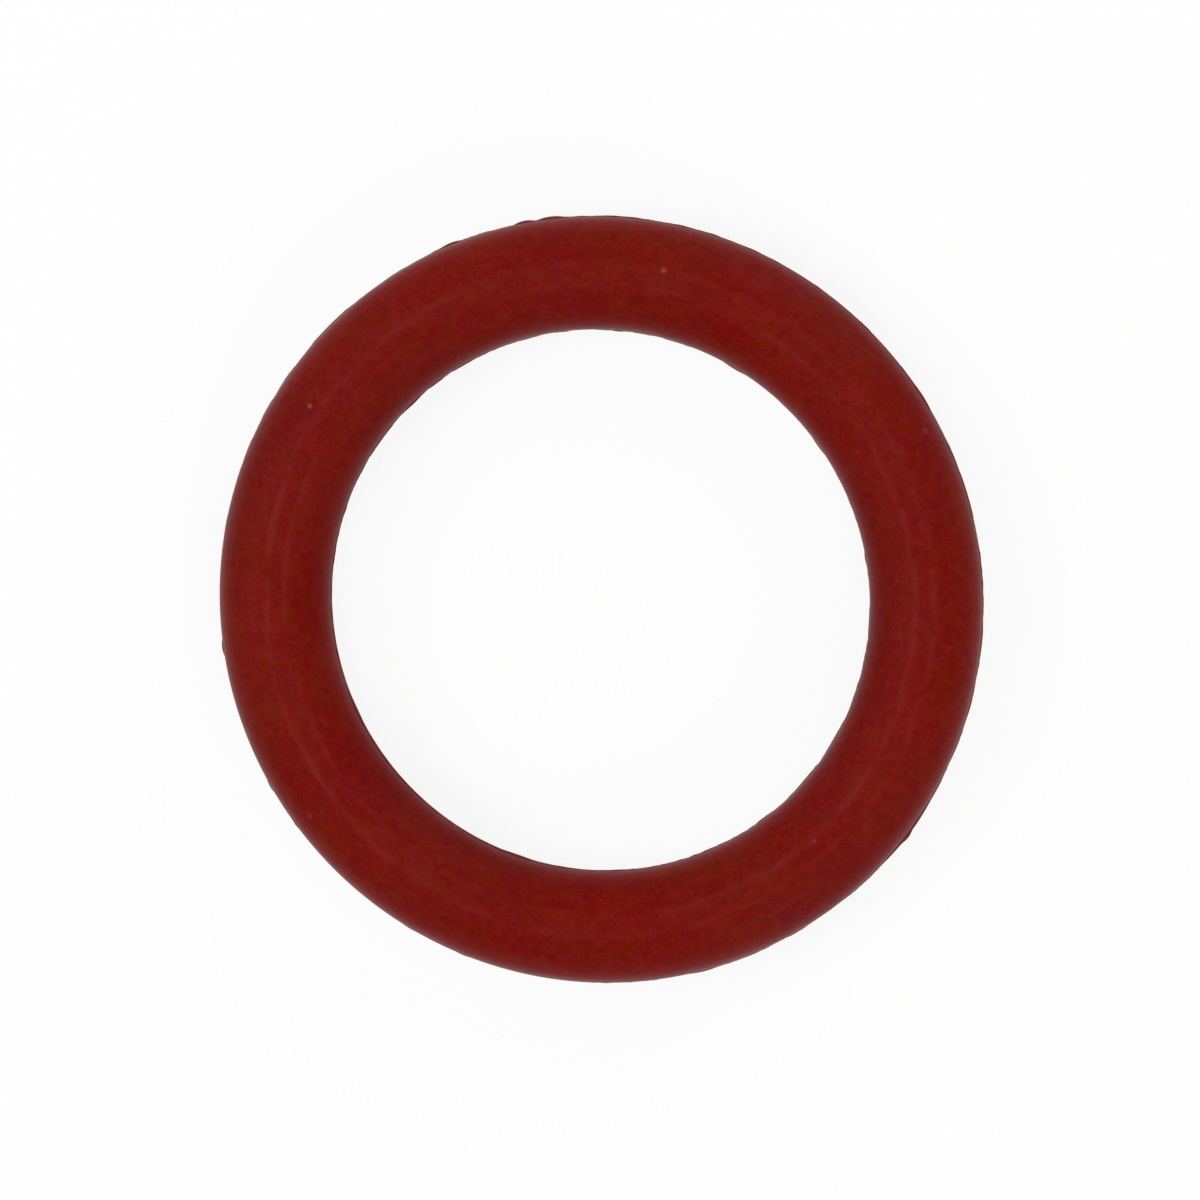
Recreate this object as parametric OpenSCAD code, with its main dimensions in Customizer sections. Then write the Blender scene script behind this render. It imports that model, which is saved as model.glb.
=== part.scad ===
// O-ring of solid silicone rubber, moulded in one piece between two mould halves.
// The ring lies flat and its axis is Z. The origin is the middle of the ring, on the plane
// where the mould halves met, so that plane is halfway up the section.

/* [Ring] */
// Inner diameter of the ring, at its narrowest
inner_d = 12; // [6:0.5:60]
// Diameter of the round section
section_d = 2.5; // [1.5:0.1:5]

/* [Flash line] */
// How far the trimmed flash line stands out of the section, at the bore and at the rim
flash_h = 0.02; // [0.01:0.01:0.05]
// Width of the flash line along the axis, with a round crest
flash_w = 0.12; // [0.08:0.01:0.2]

/* [Flash nibs] */
// Thickness of the thin flash that the trimming left standing at the rim and in the bore
nib_t = 0.07; // [0.04:0.01:0.1]
// Height of the tallest nib over the section
tall_nib_h = 0.07; // [0.04:0.01:0.12]
// Height of the lower nibs at the rim over the section
low_nib_h = 0.05; // [0.03:0.01:0.1]
// Height of a nib in the bore over the straight line between its ends
bore_nib_h = 0.02; // [0.01:0.01:0.06]
// Length of a short nib along the rim or the bore
short_nib_l = 0.7; // [0.4:0.1:1.5]
// Length of the long strip of flash that carries the tallest nib
long_nib_l = 2.4; // [1.6:0.1:3]

/* [Hidden] */
ring_color = "#74190f";
section_r = section_d / 2;
bore_r = inner_d / 2;
mean_r = bore_r + section_r;
rim_r = mean_r + section_r;
// The nibs as the photograph shows them: angle round the ring from +X, length and height
rim_nibs = [
    [97, short_nib_l, low_nib_h],
    [102, short_nib_l, low_nib_h],
    [113, short_nib_l, low_nib_h],
    [322, short_nib_l, tall_nib_h],
    [324, long_nib_l, low_nib_h],
];
bore_nibs = [
    [36, short_nib_l, bore_nib_h],
    [60, short_nib_l, bore_nib_h],
    [134, short_nib_l, bore_nib_h],
];
$fa = 2;
$fs = 0.01;

// Angle between the middle of a nib and its end, on an edge of radius edge_r
function nib_half_angle(edge_r, length) = length / edge_r * 90 / PI;

// Distance from the ring's axis to the centre of the disc whose edge is the nib's crest:
// the disc meets the ring's edge at both ends of the nib and reaches crest_r in the middle.
function nib_centre(edge_r, crest_r, half_angle) =
    (edge_r ^ 2 - crest_r ^ 2) / (edge_r * cos(half_angle) - crest_r) / 2;

// Round section with a flash line at the bore and at the rim
module section() {
    circle(d = section_d);
    for (side = [-1, 1])
        translate([side * (section_r + flash_h - flash_w / 2), 0])
            circle(d = flash_w, $fn = 24);
}

// Disc of thin flash whose edge is the crest of one nib
module nib_disc(angle, edge_r, crest_r, half_angle) {
    centre = nib_centre(edge_r, crest_r, half_angle);
    rotate(angle)
        translate([centre, 0, 0])
            cylinder(r = abs(crest_r - centre), h = nib_t, center = true);
}

// Nibs that stand out of the rim, rooted in the middle of the section
module rim_flash() {
    difference() {
        for (n = rim_nibs)
            nib_disc(
                angle = n[0], edge_r = rim_r, crest_r = rim_r + n[2],
                half_angle = nib_half_angle(rim_r, n[1])
            );
        cylinder(r = mean_r, h = 2 * nib_t, center = true);
    }
}

// Nibs that stand into the bore, rooted in the middle of the section
module bore_flash() {
    intersection() {
        for (n = bore_nibs) {
            half_angle = nib_half_angle(bore_r, n[1]);
            nib_disc(
                angle = n[0], edge_r = bore_r, crest_r = bore_r * cos(half_angle) - n[2],
                half_angle = half_angle
            );
        }
        cylinder(r = mean_r, h = 2 * nib_t, center = true);
    }
}

module o_ring() {
    color(ring_color)
        union() {
            rotate_extrude()
                translate([mean_r, 0])
                    section();
            rim_flash();
            bore_flash();
        }
}

o_ring();
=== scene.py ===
import math

import bmesh
import bpy
from mathutils import Matrix, Vector, noise


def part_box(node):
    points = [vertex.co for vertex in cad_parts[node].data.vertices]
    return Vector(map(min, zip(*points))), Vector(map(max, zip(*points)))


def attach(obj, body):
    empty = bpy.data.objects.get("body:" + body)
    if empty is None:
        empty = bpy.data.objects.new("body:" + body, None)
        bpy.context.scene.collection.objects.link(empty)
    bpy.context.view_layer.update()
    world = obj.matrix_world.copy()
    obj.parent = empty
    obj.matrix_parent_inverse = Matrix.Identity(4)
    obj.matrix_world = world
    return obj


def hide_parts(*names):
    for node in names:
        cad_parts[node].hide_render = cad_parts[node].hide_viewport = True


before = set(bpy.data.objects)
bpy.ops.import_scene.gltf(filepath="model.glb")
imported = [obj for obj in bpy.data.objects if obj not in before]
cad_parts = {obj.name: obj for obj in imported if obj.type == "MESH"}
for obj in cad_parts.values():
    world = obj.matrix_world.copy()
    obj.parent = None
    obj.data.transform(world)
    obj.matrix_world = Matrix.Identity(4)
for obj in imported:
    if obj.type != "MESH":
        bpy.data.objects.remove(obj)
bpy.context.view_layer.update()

low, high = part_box("o_ring")
mm = 0.001  # metres in a millimetre
scene = bpy.context.scene
scene.view_settings.view_transform = "Standard"


def towards(azimuth, elevation):  # unit vector, from degrees round from +X and degrees over the floor
    turn, rise = math.radians(azimuth), math.radians(elevation)
    return Vector((math.cos(turn) * math.cos(rise), math.sin(turn) * math.cos(rise), math.sin(rise)))


def facing(back):  # turns a camera or a lamp so that its back points that way, with +Y up in its picture
    right = Vector((0, 1, 0)).cross(back).normalized()
    return Matrix((right, back.cross(right), back)).transposed().to_quaternion()


def addObject(name, data):
    made = bpy.data.objects.new(name, data)
    scene.collection.objects.link(made)
    return made


# Camera

camera = {
    "azimuth": 38.07,  # the side that the camera leans to
    "elevation": 79.13,
    "distance": 226.3 * mm,
    "pictureWidth": 26.45 * mm,  # what the picture takes in at the ring
    "shift": (0.00025, 0.00067),  # share of the picture that the ring stands left of and under the middle
    "sensor": 36,
}


def placeCamera():
    data = bpy.data.cameras.new("photoCamera")
    data.sensor_width = camera["sensor"]
    data.lens = camera["sensor"] * camera["distance"] / camera["pictureWidth"]
    data.shift_x, data.shift_y = camera["shift"]
    data.clip_start = 10 * mm
    made = addObject("photoCamera", data)
    back = towards(camera["azimuth"], camera["elevation"])
    made.rotation_mode = "QUATERNION"
    made.rotation_quaternion = facing(back)
    made.location = back * camera["distance"]
    scene.camera = made


placeCamera()
print("camera placed")

# Light, sky and floor

# levels are light on the floor, where 1 in all shows a colour about as it is written
sky = {
    "level": 0.10,
    "white": 1.0,  # what the camera and the reflections see of it
}

lampShape = {"size": 0.3, "distance": 0.5}  # in metres, the same for all

# where each lamp stands, in degrees, and its level
lamps = {
    "overhead": {"azimuth": 38, "elevation": 80, "level": 0.28, "tint": (1, 1, 1)},
    "left": {"azimuth": 180, "elevation": 50, "level": 0.32, "tint": (0.97, 0.98, 1)},
    "front": {"azimuth": 300, "elevation": 35, "level": 0.20, "tint": (1, 0.96, 0.90)},
    "right": {"azimuth": 60, "elevation": 20, "level": 0.12, "tint": (1, 0.96, 0.90)},
    "back": {"azimuth": 130, "elevation": 20, "level": 0.03, "tint": (0.94, 0.97, 1)},
}

floor = {
    "radius": 0.8,  # in metres
    "colour": (0.92, 0.92, 0.92, 1),
    "whiteShare": 0.88,  # how much of the floor's picture is plain white, without the shadow
}


def addNode(tree, kind, inputs=None, **settings):
    node = tree.nodes.new(kind)
    for name, value in settings.items():
        setattr(node, name, value)
    for key, value in (inputs or {}).items():
        if isinstance(value, bpy.types.NodeSocket):
            tree.links.new(value, node.inputs[key])
        else:
            node.inputs[key].default_value = value
    return node


def maths(tree, operation, first, second=0.0, third=0.0):
    return addNode(tree, "ShaderNodeMath", {0: first, 1: second, 2: third}, operation=operation).outputs[0]


def blend(tree, share, first, second):
    return addNode(tree, "ShaderNodeMix", {0: share, 6: first, 7: second}, data_type="RGBA").outputs[2]


def seenRays(tree):  # 1 for what the camera sees, straight or in a reflection
    path = addNode(tree, "ShaderNodeLightPath").outputs
    glossy = maths(tree, "MAXIMUM", path["Is Glossy Ray"], path["Is Transmission Ray"])
    return maths(tree, "MAXIMUM", path["Is Camera Ray"], glossy)


def lightSky():
    world = bpy.data.worlds.new("studioSky")
    world.use_nodes = True
    tree = world.node_tree
    tree.nodes.clear()
    light = addNode(tree, "ShaderNodeBackground", {"Strength": sky["level"]})
    seen = addNode(tree, "ShaderNodeBackground", {"Strength": sky["white"]})
    for shade in (light, seen):
        shade.inputs["Color"].default_value = (1, 1, 1, 1)
    shades = {0: seenRays(tree), 1: light.outputs[0], 2: seen.outputs[0]}
    both = addNode(tree, "ShaderNodeMixShader", shades)
    addNode(tree, "ShaderNodeOutputWorld", {"Surface": both.outputs[0]})
    scene.world = world


def addLamp(name, azimuth, elevation, level, tint):
    size, distance = lampShape["size"], lampShape["distance"]
    data = bpy.data.lights.new(name, "AREA")
    data.size = size
    data.color = tint
    back = towards(azimuth, elevation)
    half = size / 2 / math.hypot(distance, size / 2)
    cover = 4 / math.pi * half * math.atan(half)  # how much of its light the lamp's square gives, facing it
    data.energy = level * math.pi * size**2 / (cover * back.z)
    made = addObject(name, data)
    made.location = back * distance
    made.rotation_mode = "QUATERNION"
    made.rotation_quaternion = facing(back)
    made.visible_camera = False


def paintFloor():
    material = bpy.data.materials.new("floorWhite")
    material.use_nodes = True
    tree = material.node_tree
    tree.nodes.clear()
    lit = addNode(tree, "ShaderNodeBsdfDiffuse", {"Color": floor["colour"]})
    white = addNode(tree, "ShaderNodeEmission", {"Color": (1, 1, 1, 1)})
    share = maths(tree, "MULTIPLY", seenRays(tree), floor["whiteShare"])
    both = addNode(tree, "ShaderNodeMixShader", {0: share, 1: lit.outputs[0], 2: white.outputs[0]})
    addNode(tree, "ShaderNodeOutputMaterial", {"Surface": both.outputs[0]})
    return material


def layFloor():
    mesh = bmesh.new()
    bmesh.ops.create_circle(mesh, cap_ends=True, segments=96, radius=floor["radius"])
    bmesh.ops.translate(mesh, verts=mesh.verts, vec=(0, 0, low.z))
    data = bpy.data.meshes.new("floor")
    mesh.to_mesh(data)
    mesh.free()
    data.materials.append(paintFloor())
    addObject("floor", data)


lightSky()
for name, lamp in lamps.items():
    addLamp(name, **lamp)
layFloor()
print("sky, lamps and floor made")

# The ring

ring = {
    "flashHeight": 0.02 * mm,  # the flash line stands this far out of the round section
    "flashWidth": 0.12 * mm,
    "finThickness": 0.07 * mm,  # of the thin flash that stands at a nib
    "finCore": 0.5,  # a nib has its full height this far over and under the middle, as a share of that
    "finSlope": 0.4,  # and falls to nothing over this further share
    "trimmed": 0.4,  # share of the flash line that the trimming took off, on average
    "ragged": 1.2,  # how much that varies along the line
    "ragPlaces": 9,  # uneven places in a length of the ring as long as its middle radius
    "ragSmoothness": 0.6,
    "ragSizes": 5,  # sizes of uneven place, each half as long as the one before
    "sectionSides": 80,
    "flashCuts": 7,  # extra points on each side of the section that is next to the flash line
    "steps": 100,  # in an eighth of the ring
    # each nib's place in degrees from +X, its length and its height over the round section
    "rimNibs": [
        (33, 0.9 * mm, 0.030 * mm),
        (88, 0.5 * mm, 0.022 * mm),
        (97.3, 0.7 * mm, 0.050 * mm),
        (101.3, 0.5 * mm, 0.046 * mm),
        (113, 0.6 * mm, 0.046 * mm),
        (188, 0.5 * mm, 0.050 * mm),
        (210, 0.5 * mm, 0.045 * mm),
        (217, 0.4 * mm, 0.038 * mm),
        (240, 0.7 * mm, 0.032 * mm),
        (249, 0.6 * mm, 0.030 * mm),
        (271, 0.4 * mm, 0.018 * mm),
        (286, 0.8 * mm, 0.028 * mm),
        (323.3, 0.55 * mm, 0.070 * mm),
        (324, 2.4 * mm, 0.040 * mm),
    ],
    "boreNibs": [
        (10, 0.4 * mm, 0.028 * mm),
        (36, 0.7 * mm, 0.030 * mm),
        (60, 0.7 * mm, 0.034 * mm),
        (86, 0.4 * mm, 0.028 * mm),
        (134, 0.7 * mm, 0.032 * mm),
        (205, 1.2 * mm, 0.030 * mm),
        (252, 1.0 * mm, 0.032 * mm),
    ],
}

sectionRadius = (high.z - low.z) / 2
meanRadius = -low.x - ring["flashHeight"] - sectionRadius  # no nib stands at -X


def drawSection(mesh):  # round section in the XZ plane, with the flash line at its inner and outer side
    bmesh.ops.create_circle(mesh, segments=ring["sectionSides"], radius=sectionRadius)
    bmesh.ops.rotate(mesh, verts=mesh.verts, matrix=Matrix.Rotation(math.pi / 2, 3, "X"))
    side = 2 * math.pi * sectionRadius / ring["sectionSides"]
    nextToFlash = [edge for edge in mesh.edges if max(abs(vert.co.z) for vert in edge.verts) < 1.5 * side]
    bmesh.ops.subdivide_edges(mesh, edges=nextToFlash, cuts=ring["flashCuts"])
    crestRadius = ring["flashWidth"] / 2
    crestCentre = sectionRadius + ring["flashHeight"] - crestRadius
    for vert in mesh.verts:
        vert.co *= sectionRadius / vert.co.length
        if abs(vert.co.z) < crestRadius:
            crest = crestCentre + math.sqrt(crestRadius**2 - vert.co.z**2)
            vert.co.x = math.copysign(max(abs(vert.co.x), crest), vert.co.x)


def nibHeight(angle, radius, nibs):
    height = 0
    for place, length, tall in nibs:
        away = (angle - math.radians(place) + math.pi) % (2 * math.pi) - math.pi
        share = away * radius / (length / 2)
        height = max(height, tall * (1 - share**2))
    return height


def flashLeft(direction, outside):  # share of the flash line that still stands there
    spot = Vector((direction.x, direction.y, outside)) * ring["ragPlaces"]
    uneven = noise.fractal(spot, ring["ragSmoothness"], 2, ring["ragSizes"])
    return min(max(1 - ring["trimmed"] + ring["ragged"] * uneven, 0), 1)


def tearFlash(mesh):  # the trimming left the flash uneven, with a few nibs
    thickness = ring["finThickness"]
    for vert in mesh.verts:
        if abs(vert.co.z) > thickness:
            continue
        radius = vert.co.xy.length
        direction = vert.co.xy.normalized()
        outside = radius > meanRadius
        angle = math.atan2(direction.y, direction.x)
        nib = nibHeight(angle, radius, ring["rimNibs"] if outside else ring["boreNibs"])
        nib *= min(max(1 - (abs(vert.co.z) / thickness - ring["finCore"]) / ring["finSlope"], 0), 1)
        bare = math.sqrt(sectionRadius**2 - vert.co.z**2)
        flash = abs(radius - meanRadius) - bare
        across = bare + max(nib, flash * flashLeft(direction, outside))
        vert.co.xy = direction * (meanRadius + (across if outside else -across))


def makeRing():
    mesh = bmesh.new()
    drawSection(mesh)
    bmesh.ops.translate(mesh, verts=mesh.verts, vec=(meanRadius, 0, 0))
    around = {"cent": (0, 0, 0), "axis": (0, 0, 1)}
    section = mesh.verts[:] + mesh.edges[:]
    bmesh.ops.spin(mesh, geom=section, angle=math.pi / 4, steps=ring["steps"], **around)
    eighth = mesh.verts[:] + mesh.edges[:] + mesh.faces[:]
    bmesh.ops.spin(mesh, geom=eighth, angle=7 * math.pi / 4, steps=7, use_duplicate=True, **around)
    bmesh.ops.remove_doubles(mesh, verts=mesh.verts, dist=0.001 * mm)
    tearFlash(mesh)
    bmesh.ops.recalc_face_normals(mesh, faces=mesh.faces)
    for face in mesh.faces:
        face.smooth = True
    data = bpy.data.meshes.new("ring")
    mesh.to_mesh(data)
    mesh.free()
    data.materials.append(mixSilicone())
    made = addObject("ring", data)
    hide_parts("o_ring")
    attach(made, "root")
    return made


# Red silicone rubber. Lengths on it are in millimetres, and bump heights in thousandths of one

silicone = {
    "deepRed": (0.142, 0.0020, 0.0000),
    "chalkyRed": (0.178, 0.0096, 0.0058),
    "patches": (0.35, 3.0),  # of deep and chalky red: how many in a millimetre, and their detail
    "flecks": (4.5, 4.0),  # the same for the fine ones
    "fleckShare": 0.75,  # how much of the mottle is flecks
    "patchHue": 0.8,  # how far the patches of red, green and blue part from each other
    "patchSoftness": 0.063,  # from the middle of the noise to the full colour on either side
    # the flash line is real; its darker red is partly painted shade along the ring's edge
    "flashRedAndEdgeShade": (0.120, 0.0100, 0.0080, 1),
    "flashAndEdgeShadeShare": 0.6,
    "flashBand": (0.10, 0.05),  # heights over the middle between which the flash line's colour, with its painted edge shade, sets in
    "flashRoughness": 0.2,  # how much rougher the flash line is
    "roughness": 0.45,
    "roughnessVaries": 0.3,
    "ior": 1.42,
    "gloss": 0.04,  # specular level, where 0.5 is a clean smooth surface
    "bloom": 0.13,  # powdery haze, which shows at the edges
    "bloomSpread": 0.36,
    "grain": (25.0, 0.25),  # fine grain: how many in a millimetre, and their height
    "orangePeel": (2.5, 1.0),
    "mouldLines": (14.0, 2.9, 0.5),  # from polishing the mould: counted as the dashes below, and height
}

# flash that tore off and stands out as a nib, in shares of the section's radius
tornFlash = {
    "colour": (0.155, 0.046, 0.038, 1),
    "beyondLine": (1.017, 1.022),  # from the flash line's crest up
    "beyondSection": (1.001, 1.004),
    "slope": 0.2,  # lets the slopes beside the crest count too
    "patches": (6.0, 0.3, 0.5),  # how many in a millimetre, and between which levels they fade
}

dust = {
    "colour": (0.30, 0.050, 0.040, 1),
    # single grains: degrees round the ring, degrees from the top of the section, radius, strength
    "grains": [
        (145.3, 16.9, 0.055, 0.9),
        (77.9, 15.8, 0.06, 0.85),
        (28.4, 56.0, 0.08, 0.4),
        (314.3, -7.8, 0.05, 0.35),
        (217.2, 31.9, 0.07, 0.3),
    ],
    "softEdge": (1.5, 0.2),  # where a grain fades out and where it is full, in radii
    "faintPlaces": 1.1,  # of the faint grains, in a millimetre
    "faintMissing": 0.6,  # share of the places that stay empty
    "faintRadius": 0.07,
    "faintStrength": 0.35,
}

# two faint painted highlight lines along the top, which wander a little round the section
paintedHighlightLines = {
    "colour": (0.187, 0.0150, 0.0115, 1),
    "slant": (0.125, 0.098, 0),  # how far they wander, and to which side
    "middle": -0.042,  # of the pair, as a share of the section's radius
    "apart": 0.175,  # from the middle
    "width": 0.12,
    "topOnly": (0.5, 0.8),  # heights between which they set in
    "strength": 0.76,
    "strongSide": (-0.17, -0.04, 0),
    "faintAcross": 0.45,  # how much fainter they are at the back and at the front
    "dashes": (5.0, 7.0),  # in the section's radius, and in as much of the ring as its middle radius
    "dashLevels": (0.38, 0.62),
}


def times(tree, first, second):
    return maths(tree, "MULTIPLY", first, second)


def spread(tree, value, start, end):  # 0 at start and 1 at end, straight in between
    return addNode(tree, "ShaderNodeMapRange", {0: value, 1: start, 2: end}).outputs[0]


def vectorMaths(tree, operation, result, first, second=(0, 0, 0)):
    return addNode(tree, "ShaderNodeVectorMath", {0: first, 1: second}, operation=operation).outputs[result]


def scatter(tree, vector, scale, detail=2.0, roughness=0.5, w=None):
    dimensions = "3D" if w is None else "4D"
    inputs = {"Vector": vector, "Scale": scale, "Detail": detail, "Roughness": roughness}
    if w is not None:
        inputs["W"] = w
    return addNode(tree, "ShaderNodeTexNoise", inputs, noise_dimensions=dimensions).outputs["Fac"]


def joinVector(tree, x, y, z):
    return addNode(tree, "ShaderNodeCombineXYZ", {0: x, 1: y, 2: z}).outputs[0]


def addMottle(tree, here):  # deep and chalky red, a little apart in red, green and blue
    layers = []
    for scale, detail in (silicone["patches"], silicone["flecks"]):
        inputs = {"Vector": here, "Scale": scale, "Detail": detail, "Roughness": 1.0}
        noisy = addNode(tree, "ShaderNodeTexNoise", inputs).outputs
        layers.append(blend(tree, silicone["patchHue"], noisy["Fac"], noisy["Color"]))
    mottled = blend(tree, silicone["fleckShare"], *layers)
    deep, chalky = 0.5 - silicone["patchSoftness"], 0.5 + silicone["patchSoftness"]
    reds = {9: silicone["deepRed"], 10: silicone["chalkyRed"]}
    inputs = {6: mottled, 7: (deep,) * 3, 8: (chalky,) * 3, **reds}
    return addNode(tree, "ShaderNodeMapRange", inputs, data_type="FLOAT_VECTOR").outputs["Vector"]


# painted highlight: two lighter red lines along the top of the ring
def addPaintedHighlightLines(tree, around, outward, upward, dashes, colour):
    slant = vectorMaths(tree, "DOT_PRODUCT", "Value", around, paintedHighlightLines["slant"])
    middle = maths(tree, "MULTIPLY_ADD", upward, slant, paintedHighlightLines["middle"])
    across = maths(tree, "SUBTRACT", outward, middle)
    side = vectorMaths(tree, "DOT_PRODUCT", "Value", around, paintedHighlightLines["strongSide"])
    strength = maths(tree, "MULTIPLY_ADD", maths(tree, "SIGN", across), side, paintedHighlightLines["strength"])
    back = addNode(tree, "ShaderNodeSeparateXYZ", {0: around}).outputs["Y"]
    fainter = times(tree, times(tree, back, back), paintedHighlightLines["faintAcross"])
    strength = maths(tree, "SUBTRACT", strength, fainter)
    gap = maths(tree, "SUBTRACT", maths(tree, "ABSOLUTE", across), paintedHighlightLines["apart"])
    inputs = {0: maths(tree, "ABSOLUTE", gap), 1: paintedHighlightLines["width"], 2: 0.0}
    fade = addNode(tree, "ShaderNodeMapRange", inputs, interpolation_type="SMOOTHSTEP").outputs[0]
    fade = times(tree, fade, spread(tree, upward, *paintedHighlightLines["topOnly"]))
    share = times(tree, times(tree, fade, strength), spread(tree, dashes, *paintedHighlightLines["dashLevels"]))
    return blend(tree, share, colour, paintedHighlightLines["colour"])


def addTornFlash(tree, here, outward, upward, colour):
    depth = vectorMaths(tree, "LENGTH", "Value", joinVector(tree, outward, upward, 0.0))
    beyond = maths(tree, "MULTIPLY_ADD", maths(tree, "ABSOLUTE", upward), tornFlash["slope"], depth)
    torn = spread(tree, beyond, *tornFlash["beyondLine"])
    torn = times(tree, torn, spread(tree, depth, *tornFlash["beyondSection"]))
    scale, start, end = tornFlash["patches"]
    torn = times(tree, torn, spread(tree, scatter(tree, here, scale), start, end))
    return blend(tree, torn, colour, tornFlash["colour"])


def addDust(tree, here, colour):
    share = 0.0
    for azimuth, slope, radius, strength in dust["grains"]:
        turn, lean = math.radians(azimuth), math.radians(slope)
        away = (meanRadius + sectionRadius * math.sin(lean)) / mm
        spot = (away * math.cos(turn), away * math.sin(turn), sectionRadius * math.cos(lean) / mm)
        gap = vectorMaths(tree, "DISTANCE", "Value", here, spot)
        start, end = (radius * edge for edge in dust["softEdge"])
        share = maths(tree, "MAXIMUM", share, times(tree, spread(tree, gap, start, end), strength))
    cells = addNode(tree, "ShaderNodeTexVoronoi", {"Vector": here, "Scale": dust["faintPlaces"]})
    pick = addNode(tree, "ShaderNodeSeparateColor", {0: cells.outputs["Color"]}).outputs[0]
    size = times(tree, spread(tree, pick, dust["faintMissing"], 1.0), dust["faintRadius"])
    size = maths(tree, "ADD", size, 0.001)  # never nothing
    away = maths(tree, "DIVIDE", cells.outputs["Distance"], size)
    faint = times(tree, spread(tree, away, 1.0, 0.0), dust["faintStrength"])
    return blend(tree, maths(tree, "MAXIMUM", share, faint), colour, dust["colour"])


def mixSilicone():
    material = bpy.data.materials.new("redSilicone")
    material.use_nodes = True
    tree = material.node_tree
    tree.nodes.clear()
    place = addNode(tree, "ShaderNodeTexCoord").outputs["Object"]
    here = addNode(tree, "ShaderNodeMapping", {"Vector": place, "Scale": (1 / mm,) * 3}).outputs[0]

    # place round the ring and round its section, as the cosine and sine of both angles
    split = addNode(tree, "ShaderNodeSeparateXYZ", {0: here}).outputs
    flat = joinVector(tree, split[0], split[1], 0.0)
    axisGap = vectorMaths(tree, "LENGTH", "Value", flat)
    around = vectorMaths(tree, "NORMALIZE", 0, flat)
    turn = addNode(tree, "ShaderNodeSeparateXYZ", {0: around}).outputs
    outward = maths(tree, "SUBTRACT", axisGap, meanRadius / mm)
    outward = maths(tree, "DIVIDE", outward, sectionRadius / mm)
    upward = maths(tree, "DIVIDE", split[2], sectionRadius / mm)

    def alongRing(across, along):  # noise that is drawn out along the ring
        x, y = times(tree, outward, across), times(tree, upward, across)
        vector = joinVector(tree, x, y, times(tree, turn[0], along))
        return scatter(tree, vector, 1.0, detail=3.0, roughness=0.65, w=times(tree, turn[1], along))

    colour = addMottle(tree, here)
    # painted highlight lines along the top
    colour = addPaintedHighlightLines(tree, around, outward, upward, alongRing(*paintedHighlightLines["dashes"]), colour)
    # darker red on the flash line, partly painted shade along the ring's edge
    atFlash = spread(tree, maths(tree, "ABSOLUTE", split[2]), *silicone["flashBand"])
    colour = blend(tree, times(tree, atFlash, silicone["flashAndEdgeShadeShare"]), colour, silicone["flashRedAndEdgeShade"])
    colour = addTornFlash(tree, here, outward, upward, colour)
    colour = addDust(tree, here, colour)

    peelScale, peelHeight = silicone["orangePeel"]
    grainScale, grainHeight = silicone["grain"]
    linesAcross, linesAlong, lineHeight = silicone["mouldLines"]
    lines = alongRing(linesAcross, linesAlong)
    bumps = times(tree, lines, lineHeight)
    bumps = maths(tree, "MULTIPLY_ADD", scatter(tree, here, peelScale), peelHeight, bumps)
    bumps = maths(tree, "MULTIPLY_ADD", scatter(tree, here, grainScale), grainHeight, bumps)
    rise = addNode(tree, "ShaderNodeBump", {"Height": bumps, "Distance": 0.001 * mm}).outputs[0]

    rubbed = times(tree, maths(tree, "SUBTRACT", lines, 0.5), silicone["roughnessVaries"])
    rougher = maths(tree, "MULTIPLY_ADD", atFlash, silicone["flashRoughness"], rubbed)
    surface = addNode(tree, "ShaderNodeBsdfPrincipled", {
        "Base Color": colour,
        "Roughness": maths(tree, "ADD", rougher, silicone["roughness"]),
        "IOR": silicone["ior"],
        "Specular IOR Level": silicone["gloss"],
        "Sheen Weight": silicone["bloom"],
        "Sheen Roughness": silicone["bloomSpread"],
        "Normal": rise,
    })
    addNode(tree, "ShaderNodeOutputMaterial", {"Surface": surface.outputs[0]})
    return material


made = makeRing()
print("ring made:", len(made.data.polygons), "faces")
